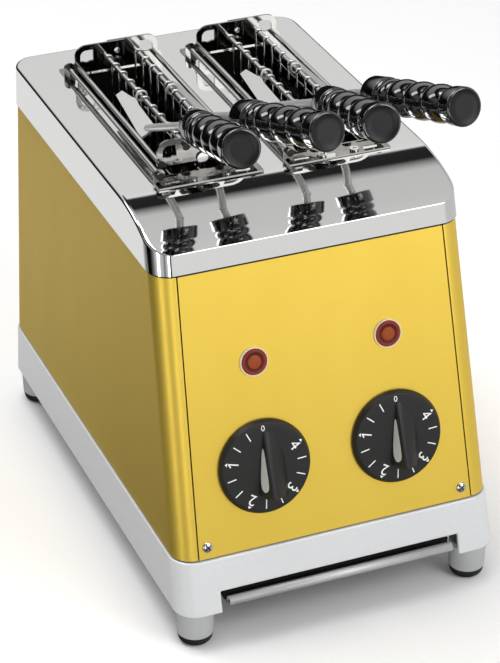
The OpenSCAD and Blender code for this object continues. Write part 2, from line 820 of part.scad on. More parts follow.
// Inner and outer rods of a jaw with their push-on rings
module rods(side, hand)
  jaw(side, hand)
    for (p = [[inner_x, inner_h], [outer_x, outer_h]]) {
      bar_y(p[0], p[1], rod_r, plate_front - plate_t / 2 - 2, plate_rear + plate_t / 2 + 2);
      cap_ring(p[0], p[1], plate_front - plate_t / 2 - 2, plate_front - plate_t / 2 - fit_gap);
      cap_ring(p[0], p[1], plate_rear + plate_t / 2 + fit_gap, plate_rear + plate_t / 2 + 2);
    }

// Cage of hooked wires that holds the bread, with two cross wires spot-welded to them
module cage(side, hand) {
  leg_x = inner_x - hook_r;
  jaw(side, hand) {
    for (i = [0 : wire_count - 1])
      translate([0, wire_first + i * wire_pitch, 0]) {
        translate([inner_x, 0, inner_h])
          rotate([90, 0, 0])
            mirror([1, 0, 0])
              rotate_extrude(angle = hook_angle)
                translate([hook_r, 0])
                  circle(r = wire_r);
        translate([leg_x, 0, -cage_depth])
          cylinder(r = wire_r, h = cage_depth + inner_h);
        translate([leg_x - toe_bend, 0, -cage_depth])
          rotate([90, 0, 0])
            rotate(-90)
              rotate_extrude(angle = 90)
                translate([toe_bend, 0])
                  circle(r = wire_r);
        translate([toe_x, 0, -cage_depth - toe_bend])
          rotate([0, 90, 0])
            cylinder(r = wire_r, h = leg_x - toe_bend - toe_x);
      }
    for (z = [-16, -cage_depth + 12])
      bar_y(leg_x + 2 * wire_r + fit_gap, z, wire_r, wire_first - 4, wire_first + (wire_count - 1) * wire_pitch + 4);
  }
}

// Frame of a handle: z along it, origin at the collar
module on_handle()
  translate([handle_x, handle_y, handle_h])
    rotate([90 - handle_rise, 0, handle_turn])
      children();

// Rod between two points
module rod_between(a, b, r) {
  v = b - a;
  translate(a)
    rotate([0, acos(v[2] / norm(v)), atan2(v[1], v[0])])
      cylinder(r = r, h = norm(v));
}

// Flat tang with its clip round the inner rod, and a stem up to the handle
module tang(side, hand)
  jaw(side, hand) {
    translate([inner_x, 0, inner_h])
      rotate([0, roof_angle, 0]) {
        translate([0, 0, -tang_t / 2])
          linear_extrude(tang_t)
            polygon([[7.5, tang_back], [12.5, tang_back], [tang_out, tang_front + 8], [tang_out, tang_front],
              [6.5, tang_front], [tab_in + 1, clip_y - 8], [tab_in, clip_y - 2], [tab_in, clip_y + 2],
              [tab_in + 1, clip_y + 4]]);
        translate([0, clip_y, 0])
          rotate([90, 0, 0])
            rotate_extrude()
              translate([clip_r, 0])
                circle(r = 0.8);
      }
    rod_between(stem_low, stem_top, stem_r);
    translate(stem_top)
      sphere(r = stem_r + 0.5);
    on_handle()
      translate([0, 0, -stem_back])
        cylinder(r = stem_r, h = stem_back + 15);
  }

// Outline of a handle: collar, neck, three rounded bulges and a plain end
module handle_shape() {
  grip = (handle_end - 34) / 3;
  bulges = [for (k = [0 : 2], i = [0 : 8])
    let (a = 180 * (i + 0.5) / 9)
    [handle_r - 2.2 + 2.2 * sin(a), 16 + k * grip + grip * (1 - cos(a)) / 2]];
  polygon(concat(
    [[0, -5], [handle_r - 1, -5], [handle_r, -4], [handle_r, 3], [handle_r - 1, 4],
     [handle_r - 3.2, 5], [handle_r - 3.2, 8], [handle_r - 1.2, 9], [handle_r - 1.2, 12], [handle_r - 2.6, 14]],
    bulges,
    [[handle_r - 2.6, handle_end - 17], [handle_r - 1, handle_end - 13], [handle_r, handle_end - 9],
     [handle_r, handle_end], [0, handle_end]]));
}
module handle(side, hand)
  jaw(side, hand)
    on_handle()
      difference() {
        rotate_extrude()
          handle_shape();
        translate([0, 0, -5 - over])
          cylinder(r = stem_r + fit_gap, h = 25 + over);
      }

// Jaws of the left tong (a) and of the right tong (b)
module tong_a_left_plates() color("#B8B8B8") placed() plates(-1, -1);
module tong_a_left_rods() color("#D4D4D4") placed() rods(-1, -1);
module tong_a_left_cage() color("#D4D4D4") placed() cage(-1, -1);
module tong_a_left_tang() color("#C0C0C0") placed() tang(-1, -1);
module tong_a_left_handle() color("#141414") placed() handle(-1, -1);
module tong_a_right_plates() color("#B8B8B8") placed() plates(-1, 1);
module tong_a_right_rods() color("#D4D4D4") placed() rods(-1, 1);
module tong_a_right_cage() color("#D4D4D4") placed() cage(-1, 1);
module tong_a_right_tang() color("#C0C0C0") placed() tang(-1, 1);
module tong_a_right_handle() color("#141414") placed() handle(-1, 1);
module tong_b_left_plates() color("#B8B8B8") placed() plates(1, -1);
module tong_b_left_rods() color("#D4D4D4") placed() rods(1, -1);
module tong_b_left_cage() color("#D4D4D4") placed() cage(1, -1);
module tong_b_left_tang() color("#C0C0C0") placed() tang(1, -1);
module tong_b_left_handle() color("#141414") placed() handle(1, -1);
module tong_b_right_plates() color("#B8B8B8") placed() plates(1, 1);
module tong_b_right_rods() color("#D4D4D4") placed() rods(1, 1);
module tong_b_right_cage() color("#D4D4D4") placed() cage(1, 1);
module tong_b_right_tang() color("#C0C0C0") placed() tang(1, 1);
module tong_b_right_handle() color("#141414") placed() handle(1, 1);

base_frame();
foot_posts();
foot_pads();
tray_rails();
side_wrap();
front_panel();
panel_screws();
case_screws();
top_cover();
slot_brackets();
bracket_screws();
guard_rods();
left_chamber();
right_chamber();
left_elements();
right_elements();
element_bushings();
left_element_guards();
right_element_guards();
left_timer();
right_timer();
lamp_holders();
lamp_bezels();
lamp_lenses();
terminal_block();
cord_gland();
crumb_tray();
left_knob();
left_knob_inlay();
left_timer_shaft();
right_knob();
right_knob_inlay();
right_timer_shaft();
left_tong_pins();
left_tong_spring();
right_tong_pins();
right_tong_spring();
tong_a_left_plates();
tong_a_left_rods();
tong_a_left_cage();
tong_a_left_tang();
tong_a_left_handle();
tong_a_right_plates();
tong_a_right_rods();
tong_a_right_cage();
tong_a_right_tang();
tong_a_right_handle();
tong_b_left_plates();
tong_b_left_rods();
tong_b_left_cage();
tong_b_left_tang();
tong_b_left_handle();
tong_b_right_plates();
tong_b_right_rods();
tong_b_right_cage();
tong_b_right_tang();
tong_b_right_handle();
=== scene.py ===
import bpy
import bmesh
from math import radians, sin, cos, tan, pi, sqrt
from mathutils import Vector, Matrix


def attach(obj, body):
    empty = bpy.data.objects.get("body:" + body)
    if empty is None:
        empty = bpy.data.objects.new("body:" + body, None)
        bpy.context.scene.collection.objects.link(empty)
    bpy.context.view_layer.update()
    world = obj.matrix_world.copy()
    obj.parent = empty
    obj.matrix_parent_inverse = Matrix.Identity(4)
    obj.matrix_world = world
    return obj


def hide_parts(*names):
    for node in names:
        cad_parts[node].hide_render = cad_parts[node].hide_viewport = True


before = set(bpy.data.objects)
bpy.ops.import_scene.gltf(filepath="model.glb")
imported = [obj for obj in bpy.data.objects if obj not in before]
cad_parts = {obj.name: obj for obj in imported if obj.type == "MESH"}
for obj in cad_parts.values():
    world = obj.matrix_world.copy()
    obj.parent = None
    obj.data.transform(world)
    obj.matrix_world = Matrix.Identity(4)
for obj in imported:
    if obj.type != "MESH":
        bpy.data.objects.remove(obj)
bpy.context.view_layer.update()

mm = 0.001
weld = 1e-6  # metres within which two points count as one
facing = 0.9  # share of a normal along an axis from which a face counts as turned that way
level = 0.9999  # the same for a face that lies flat
print("frame loaded:", len(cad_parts), "nodes")


# camera at the photograph's viewing angle
cameraSpec = dict(place=(-0.5531, -1.35778, 0.9799), pitch=59.613, turn=-22.391, lens=135.605,
                  sensor=36.0, far=20.0)
cameraData = bpy.data.cameras.new("camera")
cameraData.lens = cameraSpec["lens"]
cameraData.sensor_width = cameraSpec["sensor"]
cameraData.clip_end = cameraSpec["far"]
camera = bpy.data.objects.new("camera", cameraData)
camera.location = cameraSpec["place"]
camera.rotation_euler = (radians(cameraSpec["pitch"]), 0.0, radians(cameraSpec["turn"]))
bpy.context.scene.collection.objects.link(camera)
bpy.context.scene.camera = camera
print("camera set")


def toLinear(hexColour):
    parts = [int(hexColour[i:i + 2], 16) / 255 for i in (1, 3, 5)]
    return [c / 12.92 if c <= 0.04045 else ((c + 0.055) / 1.055) ** 2.4 for c in parts] + [1.0]


# settings: (attribute or input, value); links: (from node, output, to input)
def addNode(owner, kind, settings=(), links=()):
    tree = owner.node_tree
    node = tree.nodes.new(kind)
    for name, value in settings:
        if hasattr(node, str(name)):
            setattr(node, name, value)
        else:
            node.inputs[name].default_value = value
    for source, output, target in links:
        tree.links.new(source.outputs[output], node.inputs[target])
    return node


# values: sockets of the shader with spaces written as underscores
def newMaterial(name, **values):
    material = bpy.data.materials.new(name)
    material.use_nodes = True
    shader = material.node_tree.nodes["Principled BSDF"]
    for socket, value in values.items():
        shader.inputs[socket.replace("_", " ")].default_value = value
    return material, shader


def linkTo(material, node, output, shader, socket):
    material.node_tree.links.new(node.outputs[output], shader.inputs[socket])


# noise in object coordinates, with scale in cells per metre along x, y and z
def noiseOf(material, scale, detail):
    coords = addNode(material, "ShaderNodeTexCoord")
    place = addNode(material, "ShaderNodeMapping", [("Scale", scale)], [(coords, "Object", "Vector")])
    return addNode(material, "ShaderNodeTexNoise", [("Scale", 1.0), ("Detail", detail)],
                   [(place, "Vector", "Vector")])


def colourMix(material, noise, first, second):
    ramp = addNode(material, "ShaderNodeValToRGB", (), [(noise, "Fac", "Fac")])
    ramp.color_ramp.elements[0].color = toLinear(first)
    ramp.color_ramp.elements[1].color = toLinear(second)
    return ramp


def tintBy(material, shader, noise, first, second):
    linkTo(material, colourMix(material, noise, first, second), "Color", shader, "Base Color")


def glossBy(material, shader, noise, low, high):
    spread = addNode(material, "ShaderNodeMapRange", [("To Min", low), ("To Max", high)],
                     [(noise, "Fac", "Value")])
    linkTo(material, spread, "Result", shader, "Roughness")


def bumpBy(material, shader, noise, strength, distance):
    bump = addNode(material, "ShaderNodeBump", [("Strength", strength), ("Distance", distance)],
                   [(noise, "Fac", "Height")])
    linkTo(material, bump, "Normal", shader, "Normal")


# anodised aluminium sheet, matt etched and dyed gold: soft broad gloss with a faint upright grain
def makeGold():
    material, shader = newMaterial("gold anodised aluminium", Metallic=0.9)
    grain = noiseOf(material, (900, 900, 45), 3.0)  # 1 mm grain, 20 mm long
    dye = noiseOf(material, (25, 25, 9), 2.0)  # 40 mm patches of the dye
    tintBy(material, shader, dye, "#ECCA52", "#F4D35C")
    glossBy(material, shader, grain, 0.37, 0.49)
    bumpBy(material, shader, grain, 0.06, 0.0002)
    return material


# stainless steel sheet, mirror polished: sharp reflections with slight press waviness
def makePolished():
    material, shader = newMaterial("polished stainless steel", Base_Color=toLinear("#DCDCDB"), Metallic=1.0)
    wave = noiseOf(material, (14, 14, 14), 1.0)  # 70 mm waves
    haze = noiseOf(material, (220, 220, 220), 4.0)  # 5 mm polishing haze
    glossBy(material, shader, haze, 0.03, 0.07)
    bumpBy(material, shader, wave, 0.03, 0.002)
    return material


# drawn steel wire and screws, bright zinc finish: clear gloss, lightly streaked
def makeBright():
    material, shader = newMaterial("bright drawn steel", Metallic=1.0)
    streak = noiseOf(material, (700, 60, 700), 3.0)  # 1.4 mm drawing streaks
    tintBy(material, shader, streak, "#BDBDBC", "#DEDEDD")
    glossBy(material, shader, streak, 0.08, 0.17)
    return material


# the same steel in rods along y: their end faces, turned along y, are duller and darkened with painted shade
def makeRod():
    material, shader = newMaterial("bright steel rod", Metallic=1.0)
    streak = noiseOf(material, (700, 30, 700), 3.0)  # 1.4 mm drawing streaks
    surface = addNode(material, "ShaderNodeNewGeometry")
    along = addNode(material, "ShaderNodeVectorMath", [("operation", "DOT_PRODUCT"), (1, (0.0, 1.0, 0.0))],
                    [(surface, "Normal", 0)])
    size = addNode(material, "ShaderNodeMath", [("operation", "ABSOLUTE")], [(along, "Value", 0)])
    endShade = addNode(material, "ShaderNodeMapRange", [("From Min", 0.85), ("From Max", 0.97)],
                   [(size, "Value", "Value")])
    drawn = colourMix(material, streak, "#B4B4B3", "#D6D6D5")
    # painted shade: the end faces turned along y get a dark colour
    tint = addNode(material, "ShaderNodeMix", [("data_type", "RGBA"), (7, toLinear("#3C3C3B"))],
                   [(endShade, "Result", 0), (drawn, "Color", 6)])
    linkTo(material, tint, 2, shader, "Base Color")
    gloss = addNode(material, "ShaderNodeMapRange", [("To Min", 0.11), ("To Max", 0.4)],
                    [(endShade, "Result", "Value")])
    linkTo(material, gloss, "Result", shader, "Roughness")
    return material


# stamped steel plate, nickel-plated: grey mirror, softer than the wire and marked by the press
def makeStamped():
    material, shader = newMaterial("nickel-plated steel plate", Metallic=1.0)
    mark = noiseOf(material, (160, 160, 160), 3.0)  # 6 mm press marks
    tintBy(material, shader, mark, "#7E7D7A", "#9C9B98")
    glossBy(material, shader, mark, 0.05, 0.12)
    bumpBy(material, shader, mark, 0.05, 0.001)
    return material


# plain cold-rolled sheet steel: duller and greyer than the bright parts
def makeSheet():
    material, shader = newMaterial("cold-rolled sheet steel", Metallic=1.0)
    roll = noiseOf(material, (120, 500, 120), 4.0)  # 2 mm rolling marks
    tintBy(material, shader, roll, "#A9AAAB", "#C6C7C8")
    glossBy(material, shader, roll, 0.3, 0.45)
    return material


# brushed stainless strip: pale, broad soft gloss with fine brushed lines
def makeSatin():
    material, shader = newMaterial("brushed stainless strip", Metallic=0.7)
    lines = noiseOf(material, (40, 900, 900), 3.0)  # 1.1 mm lines, 25 mm long
    tintBy(material, shader, lines, "#C8C8C6", "#DCDCDA")
    glossBy(material, shader, lines, 0.34, 0.48)
    bumpBy(material, shader, lines, 0.04, 0.0002)
    return material


# cast aluminium with a light grey enamel: even colour, satin gloss, faint orange peel
def makeEnamel():
    material, shader = newMaterial("light grey enamel", Metallic=0.12, Roughness=0.34)
    peel = noiseOf(material, (450, 450, 450), 2.0)  # 2 mm orange peel
    tintBy(material, shader, peel, "#D2D3D5", "#DADBDC")
    bumpBy(material, shader, peel, 0.04, 0.0003)
    return material


# plastics, rubber and dull metals: a grain of one size tints them and breaks their gloss
skin = dict(detail=3.0, glossier=0.88, duller=1.12, depth=0.2)


def makeGrained(name, first, second, roughness, grit, bumpStrength, **values):
    material, shader = newMaterial(name, **values)
    noise = noiseOf(material, (1 / grit,) * 3, skin["detail"])
    tintBy(material, shader, noise, first, second)
    glossBy(material, shader, noise, roughness * skin["glossier"], min(1.0, roughness * skin["duller"]))
    bumpBy(material, shader, noise, bumpStrength, grit * skin["depth"])
    return material


gold = makeGold()
polished = makePolished()
bright = makeBright()
rodSteel = makeRod()
stamped = makeStamped()
sheet = makeSheet()
satin = makeSatin()
enamel = makeEnamel()
# injection-moulded ABS: dark grey, even satin skin
knobPlastic = makeGrained("moulded dark ABS", "#1A1A19", "#212120", 0.42, 0.0012, 0.05,
                          Specular_IOR_Level=0.35)
# compression-moulded phenolic: near black, deep wet gloss
phenolic = makeGrained("gloss black phenolic", "#060606", "#0A0A0A", 0.08, 0.004, 0.01,
                       Coat_Weight=0.8, Coat_IOR=1.7)
# pressed-in plastic plug: black, a little duller than the grip
endPlastic = makeGrained("black moulded nylon plug", "#0B0B0B", "#101010", 0.36, 0.0012, 0.04,
                         Specular_IOR_Level=0.32)
# screen-printed ink: flat white, slightly chalky
printWhite = makeGrained("white screen print", "#E6E6E3", "#F2F2F0", 0.5, 0.0012, 0.02)
# hot-stamped foil: pale grey with a weak metal gleam
dropSilver = makeGrained("silver foil inlay", "#C4C4BD", "#D6D6D0", 0.36, 0.0015, 0.03, Metallic=0.2)
# vulcanised rubber: soft black, no sharp highlight
rubber = makeGrained("black rubber", "#121212", "#1A1A1A", 0.6, 0.0015, 0.06)
# moulded nylon in light grey: smooth with a soft sheen
footGrey = makeGrained("grey moulded nylon", "#A9AAAB", "#B4B5B6", 0.4, 0.0015, 0.04)
# moulded polypropylene rim: warm white, thin and glossy
rimWhite = makeGrained("white moulded polypropylene", "#DAD4C8", "#E4DFD6", 0.3, 0.0015, 0.02)
# tinted polycarbonate lens: deep red glow under a clear gloss, darker in its groove with painted shade and
# lighter at its core
lensRed = makeGrained("red polycarbonate", "#7A2410", "#8E2E16", 0.26, 0.002, 0.05, Specular_IOR_Level=0.25)
lensDark = makeGrained("shaded red polycarbonate", "#45190F", "#572216", 0.3, 0.002, 0.05,
                       Specular_IOR_Level=0.2)
lensCore = makeGrained("orange polycarbonate", "#7E3212", "#A85026", 0.3, 0.0012, 0.1, Specular_IOR_Level=0.2)
# glazed steatite: warm white, glassy
ceramic = makeGrained("glazed steatite", "#E6E2D6", "#EFECE2", 0.28, 0.003, 0.03)
# powder-coated timer case: mid grey, fine texture
timerGrey = makeGrained("grey powder coat", "#707173", "#7A7B7D", 0.45, 0.0015, 0.04)
# element sheath: steel browned by heat in soft patches
heatedSteel = makeGrained("heat-browned steel", "#2E2522", "#3C302B", 0.42, 0.004, 0.06, Metallic=0.8)
# tumbled sheet steel: pale and even, a broad soft sheen along the roll
rollSteel = makeGrained("tumbled sheet steel", "#C2C3C3", "#CDCECE", 0.48, 0.003, 0.03, Metallic=0.6)
# chamber sheet steel, near black: dull, nearly no reflection
chamberBlack = makeGrained("near-black chamber sheet steel", "#100F0E", "#191715", 0.55, 0.006, 0.05, Metallic=0.6)
# tray pan painted near black as painted shade, for the shade inside the base: a dull sheen
panShade = makeGrained("tray pan in painted shade", "#141414", "#1E1D1C", 0.5, 0.005, 0.05, Metallic=0.5)
# painted shade for recesses, sheared edges and the strip under the lip: black and matt
shadeBlack = makeGrained("painted shade black", "#0A0A0A", "#101010", 0.7, 0.002, 0.02)
print("materials made")


# a finished mesh becomes a piece of the object; sharp: angle in degrees from which an edge isn't smoothed
def addPiece(mesh, name, materials, body, replaced=(), sharp=40):
    data = bpy.data.meshes.new(name)
    mesh.to_mesh(data)
    mesh.free()
    for poly in data.polygons:
        poly.use_smooth = True
    data.set_sharp_from_angle(angle=radians(sharp))
    for material in materials:
        data.materials.append(material)
    piece = bpy.data.objects.new(name, data)
    bpy.context.scene.collection.objects.link(piece)
    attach(piece, body)
    if replaced:
        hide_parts(*replaced)
    return piece


def addBevel(piece, width, segments=2):
    modifier = piece.modifiers.new("edges", "BEVEL")
    modifier.width = width * mm
    modifier.segments = segments
    modifier.limit_method = "ANGLE"
    modifier.angle_limit = radians(35)  # gentler turns of a rounded corner stay as they are


def addThickness(piece, thickness, rimMaterial=0):
    modifier = piece.modifiers.new("sheet", "SOLIDIFY")
    modifier.material_offset_rim = rimMaterial
    modifier.thickness = thickness * mm
    modifier.offset = -1.0
    modifier.use_even_offset = True


def addFlatShading(piece):
    modifier = piece.modifiers.new("shading", "WEIGHTED_NORMAL")  # flat sheets stay flat beside their folds
    modifier.mode = "FACE_AREA"
    modifier.keep_sharp = True


def newVerts(grown):
    return [g for g in grown["geom"] if isinstance(g, bmesh.types.BMVert)]


def thicken(mesh, face, vec):
    grown = bmesh.ops.extrude_face_region(mesh, geom=[face])
    bmesh.ops.translate(mesh, verts=newVerts(grown), vec=vec)
    bmesh.ops.recalc_face_normals(mesh, faces=mesh.faces)


# leaning housing: sizes in millimetres, depth counted from the cover's front edge
body = dict(lipWidth=210.0, lipDepth=284.0, lipHeight=29.0, wallHeight=181.0, baseHeight=35.5,
            footHeight=26.0, sideTilt=1.8, frontTilt=14.5, backTilt=1.9, corner=15.0, cornerSteps=14,
            flange=14.0, midDepth=116.979, inset=1.1, seam=1.6, seamSlack=6.0, slit=1.0, shade=1.35,
            tuck=8.0, sheet=1.0, edge=0.3, slotPitch=88.0)
deckZ = body["footHeight"] + body["baseHeight"]
lipZ = deckZ + body["wallHeight"]
topZ = lipZ + body["lipHeight"]


def halfWidth(z):
    return body["lipWidth"] / 2 + tan(radians(body["sideTilt"])) * (lipZ - z)


def frontY(z):
    return -tan(radians(body["frontTilt"])) * (lipZ - z)


def backY(z):
    return body["lipDepth"] + tan(radians(body["backTilt"])) * (lipZ - z)


def point(x, y, z):
    return Vector((x * mm, (y - body["midDepth"]) * mm, z * mm))


def depthOf(place):
    return place.y / mm + body["midDepth"]


def draftedBlock(z0, z1, inset, cornerSteps):
    mesh = bmesh.new()
    rings = []
    for z in (z0, z1):
        w, f, b = halfWidth(z) - inset, frontY(z) + inset, backY(z) - inset
        rings.append([point(-w, f, z), point(w, f, z), point(w, b, z), point(-w, b, z)])
    low = mesh.faces.new([mesh.verts.new(p) for p in rings[0]])
    for vert in newVerts(bmesh.ops.extrude_face_region(mesh, geom=[low])):
        nearest = min(rings[0], key=lambda p: (p - vert.co).length)
        vert.co = rings[1][rings[0].index(nearest)]
    upright = [e for e in mesh.edges if abs(e.verts[0].co.z - e.verts[1].co.z) > mm]
    bmesh.ops.bevel(mesh, geom=upright, offset=(body["corner"] - inset) * mm, offset_type="OFFSET",
                    segments=cornerSteps, profile=0.5, affect="EDGES", material=-1)
    bmesh.ops.recalc_face_normals(mesh, faces=mesh.faces)
    return mesh


def sliceFaces(mesh, faces, where, normal):
    geom = set(faces)
    for face in faces:
        geom.update(face.edges)
        geom.update(face.verts)
    bmesh.ops.bisect_plane(mesh, geom=list(geom), dist=weld, plane_co=where, plane_no=normal)


def sliceAll(mesh, where, normal, near=weld):
    bmesh.ops.bisect_plane(mesh, geom=mesh.verts[:] + mesh.edges[:] + mesh.faces[:], dist=near,
                           plane_co=where, plane_no=normal)


def removeFaces(mesh, test):
    bmesh.ops.delete(mesh, geom=[f for f in mesh.faces if test(f)], context="FACES")


def frontFaces(mesh):
    return [f for f in mesh.faces if f.normal.y < -facing]


def facesUp(mesh, least):
    return [f for f in mesh.faces if f.normal.z > least]


# take out the faces of a level sheet that lie in the two openings over the chambers
def openSlots(mesh, least, halfOpening, front, back):
    middle = body["slotPitch"] / 2
    for side in (-1, 1):
        for x in (-halfOpening, halfOpening):
            sliceFaces(mesh, facesUp(mesh, least), point(side * middle + x, 0, 0), (1, 0, 0))
    for y in (front, back):
        sliceFaces(mesh, facesUp(mesh, least), point(0, y, 0), (0, 1, 0))

    def inSlot(face):
        centre = face.calc_center_median()
        beside = abs(abs(centre.x / mm) - middle) < halfOpening
        return face.normal.z > least and beside and front < depthOf(centre) < back
    removeFaces(mesh, inSlot)


# gold wrap: sides and back in one sheet, a flange on each side of the panel
def makeWrap():
    mesh = draftedBlock(deckZ + body["slit"], lipZ + body["tuck"], body["inset"], body["cornerSteps"])
    removeFaces(mesh, lambda f: abs(f.normal.z) > facing)
    shade = (lipZ - body["shade"]) * mm
    sliceAll(mesh, (0, 0, shade), (0, 0, 1))
    for face in mesh.faces:  # dark in the shade of the cover's lip
        face.material_index = 1 if face.calc_center_median().z > shade else 0
    lean = tan(radians(body["sideTilt"]))
    for side in (-1, 1):
        seamX = side * (body["lipWidth"] / 2 - body["flange"])
        sliceFaces(mesh, frontFaces(mesh), point(seamX, 0, lipZ), (1, 0, side * lean))
    inner = (halfWidth(deckZ) - body["flange"] - body["seamSlack"]) * mm
    removeFaces(mesh, lambda f: f.normal.y < -facing and abs(f.calc_center_median().x) < inner)
    piece = addPiece(mesh, "gold_wrap", [gold, shadeBlack], "housing", ["side_wrap"])
    # the sheet's rims take the painted shade as well
    addThickness(piece, body["sheet"], 1)
    addBevel(piece, body["edge"])
    addFlatShading(piece)


# panel frame: x across, v up the slope from the cover's lower edge, out along the panel's normal
panelLean = radians(body["frontTilt"])
panelUp = Vector((0, sin(panelLean), cos(panelLean)))
panelOut = Vector((0, -cos(panelLean), sin(panelLean)))
panelFace = -body["inset"] * cos(panelLean)


def panelPoint(x, v, out):
    return point(x, 0, lipZ) + panelUp * v * mm + panelOut * (panelFace + out) * mm


def panelMatrix(x, v, out):
    axes = Matrix((Vector((1, 0, 0)), panelUp, panelOut)).transposed().to_4x4()
    return Matrix.Translation(panelPoint(x, v, out)) @ axes


# gold panel: flat sheet between the flanges, its upper end under the cover
def makePanel():
    mesh = bmesh.new()
    topX, lowX = (halfWidth(z) - body["flange"] - body["seam"] for z in (lipZ, deckZ))
    foot, head = body["slit"] - (lipZ - deckZ) / cos(panelLean), body["tuck"]
    corners = [(-lowX, foot), (lowX, foot), (topX, 0), (topX, head), (-topX, head), (-topX, 0)]
    face = mesh.faces.new([mesh.verts.new(panelPoint(x, v, -body["sheet"])) for x, v in corners])
    thicken(mesh, face, panelOut * body["sheet"] * mm)
    shade = panelPoint(0, -body["shade"], 0)
    sliceAll(mesh, shade, panelUp)
    for face in mesh.faces:  # painted shade on the sheared edges and on the strip in the lip's shade
        edge = abs(face.normal.x) > facing or face.normal.dot(panelUp) < -facing
        shaded = (face.calc_center_median() - shade).dot(panelUp) > 0
        face.material_index = 1 if edge or shaded else 0
    piece = addPiece(mesh, "gold_panel", [gold, shadeBlack], "housing", ["front_panel"])
    addBevel(piece, body["edge"], 3)
    addFlatShading(piece)


# polished cover: pressed sheet with a rolled nose, folded edges and two bread slots
cover = dict(noseRadius=125.0, noseStart=65.0, noseSteps=18, fold=2.6, foldSteps=6, cornerSteps=10,
             frontTight=0.86, tightFrom=0.2, tightOver=0.7, slotWidth=52.0, slotFront=70.0, slotLength=168.0,
             sheet=1.0, edge=0.25, slack=1.0, tries=30)


def topHeight(y):
    reach = max(0.0, cover["noseStart"] - y)
    return topZ - cover["noseRadius"] + sqrt(cover["noseRadius"] ** 2 - reach ** 2)


# lower a point along its leaning wall until it lies as deep under the nose as it lay under the flat top
def bendNose(vert, straightFrom):
    lean = tan(panelLean)
    start, y, z = vert.co.copy(), depthOf(vert.co), vert.co.z / mm
    fade = min(1.0, max(0.0, (cover["noseStart"] - y) / (cover["noseStart"] - straightFrom)))
    low = z
    for _ in range(cover["tries"]):
        low = topHeight(y - fade * lean * (z - low)) - (topZ - z)
    wider = halfWidth(low) / halfWidth(z)
    vert.co = (start.x * wider, start.y - fade * lean * (z - low) * mm, low * mm)


# the fold is tight along the front and widens round the corners to the sides
def tightenFront(vert):
    corner = body["corner"]
    half, middle = halfWidth(topZ) - corner, frontY(topZ) + corner
    x, y, z = vert.co.x / mm, depthOf(vert.co), vert.co.z / mm
    near = min(half, max(-half, x))
    reach = sqrt((x - near) ** 2 + (y - middle) ** 2)
    if y < middle and reach > 0.1:  # beside the corner's own axis
        ahead = ((middle - y) / reach - cover["tightFrom"]) / cover["tightOver"]
        keep = 1 - cover["frontTight"] * min(1.0, max(0.0, ahead))
        wider = (corner - (corner - reach) * keep) / reach
        vert.co = point(near + (x - near) * wider, middle + (y - middle) * wider, topZ - (topZ - z) * keep)


def makeCover():
    mesh = draftedBlock(lipZ, topZ, 0, cover["cornerSteps"])
    rim = [e for e in mesh.edges if min(v.co.z for v in e.verts) > (topZ - cover["slack"]) * mm]
    bmesh.ops.bevel(mesh, geom=rim, offset=cover["fold"] * mm, offset_type="OFFSET",
                    segments=cover["foldSteps"], profile=0.5, affect="EDGES", clamp_overlap=True, material=-1)
    for vert in mesh.verts:
        if vert.co.z > (topZ - cover["fold"] - cover["slack"]) * mm:
            tightenFront(vert)
    straightFrom = frontY(topZ) + body["corner"] + cover["slack"] / 2
    loop = {round(depthOf(v.co), 3) for f in facesUp(mesh, level) for v in f.verts}
    for y in sorted(y for y in loop if y < straightFrom)[1:]:
        sliceFaces(mesh, facesUp(mesh, level), point(0, y, 0), (0, 1, 0))
    for k in range(cover["noseSteps"]):
        y = straightFrom + (cover["noseStart"] - straightFrom) * k / (cover["noseSteps"] - 1)
        sliceAll(mesh, point(0, y, 0), (0, 1, 0), 2 * weld)
    for vert in mesh.verts:
        if vert.co.z > (lipZ + cover["slack"]) * mm and depthOf(vert.co) < cover["noseStart"]:
            bendNose(vert, straightFrom)
    bmesh.ops.recalc_face_normals(mesh, faces=mesh.faces)
    removeFaces(mesh, lambda f: f.normal.z < -facing)
    openSlots(mesh, level, cover["slotWidth"] / 2, cover["slotFront"],
              cover["slotFront"] + cover["slotLength"])
    piece = addPiece(mesh, "polished_cover", [polished], "housing", ["top_cover"], sharp=50)
    addThickness(piece, cover["sheet"])
    addBevel(piece, cover["edge"])
    addFlatShading(piece)


# cast base: leaning walls, a deck with two openings and a cut-out for the tray
base = dict(wall=3.0, cutHalf=83.3, cutHeight=14.0, holeHalf=34.0, holeFront=70.0, holeBack=238.0, edge=1.0)


def makeBase():
    mesh = draftedBlock(body["footHeight"], deckZ, 0, body["cornerSteps"])
    removeFaces(mesh, lambda f: f.normal.z < -facing)
    for x in (-base["cutHalf"], base["cutHalf"]):
        sliceFaces(mesh, frontFaces(mesh), point(x, 0, 0), (1, 0, 0))
    cutTop = body["footHeight"] + base["cutHeight"]
    sliceFaces(mesh, frontFaces(mesh), point(0, 0, cutTop), (0, 0, 1))
    removeFaces(mesh, lambda f: f.normal.y < -facing and f.calc_center_median().z < cutTop * mm
                and abs(f.calc_center_median().x) < base["cutHalf"] * mm)
    openSlots(mesh, facing, base["holeHalf"], base["holeFront"], base["holeBack"])
    piece = addPiece(mesh, "cast_base", [enamel], "housing", ["base_frame"])
    addThickness(piece, base["wall"])
    addBevel(piece, base["edge"], 3)
    addFlatShading(piece)


# turned shape: profile of (radius, height) spun round z, then placed
def turned(profile, steps, matrix):
    mesh = bmesh.new()
    verts = [mesh.verts.new((r * mm, 0, z * mm)) for r, z in profile]
    edges = [mesh.edges.new(pair) for pair in zip(verts, verts[1:])]
    bmesh.ops.spin(mesh, geom=verts + edges, cent=(0, 0, 0), axis=(0, 0, 1), angle=2 * pi, steps=steps,
                   use_merge=True)
    bmesh.ops.remove_doubles(mesh, verts=mesh.verts, dist=weld)
    bmesh.ops.recalc_face_normals(mesh, faces=mesh.faces)
    bmesh.ops.transform(mesh, matrix=matrix, verts=mesh.verts)
    return mesh


